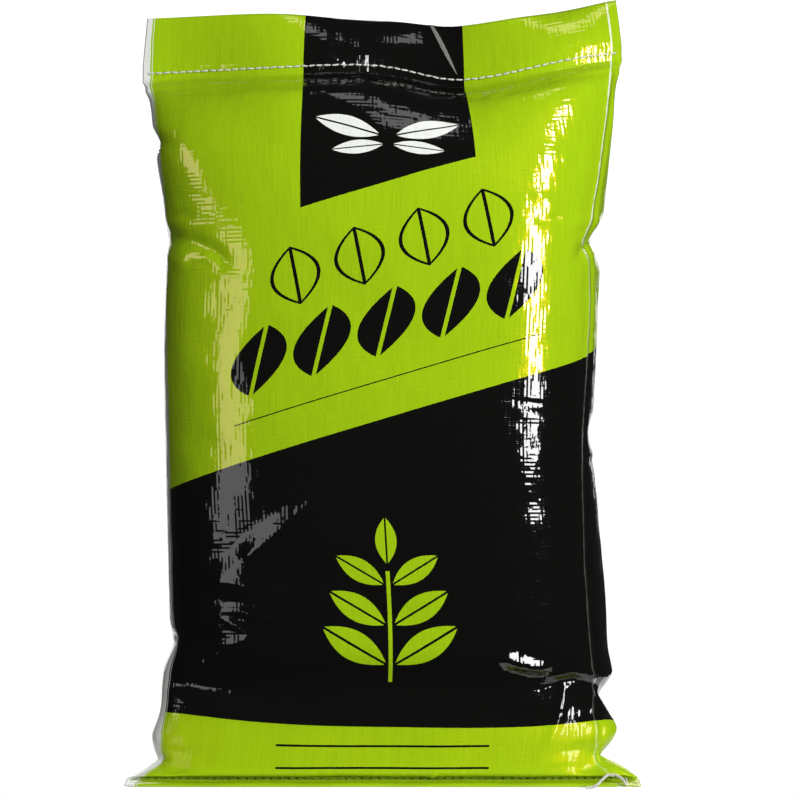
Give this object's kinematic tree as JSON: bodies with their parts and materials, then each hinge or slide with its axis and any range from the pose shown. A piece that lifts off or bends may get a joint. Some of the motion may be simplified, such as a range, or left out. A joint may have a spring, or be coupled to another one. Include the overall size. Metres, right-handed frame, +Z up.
{
  "type": "bag of potting soil",
  "caption": "Filled woven plastic sack of potting soil standing upright, sewn shut across a flat top flap and a folded bottom hem, with a plain printed field, band and leaf sprig.",
  "frame": {"origin": "on the floor, under the middle of the sack", "axes": "+Z up along the sack's height, -Y out of the printed front, +X to the right as seen from the front"},
  "size_m": [0.512, 0.1811, 0.7747],
  "materials": {
    "printed_film": "glossy laminated woven polypropylene, lime green with black fields and unprinted white margins",
    "closing_thread": "white spun polyester sewing thread"
  },
  "bodies": {
    "root": {"sack": "printed_film", "top_front_thread": "closing_thread", "top_back_thread": "closing_thread", "bottom_closing_thread": "closing_thread", "thread_tail": "closing_thread"}
  },
  "joints": []
}
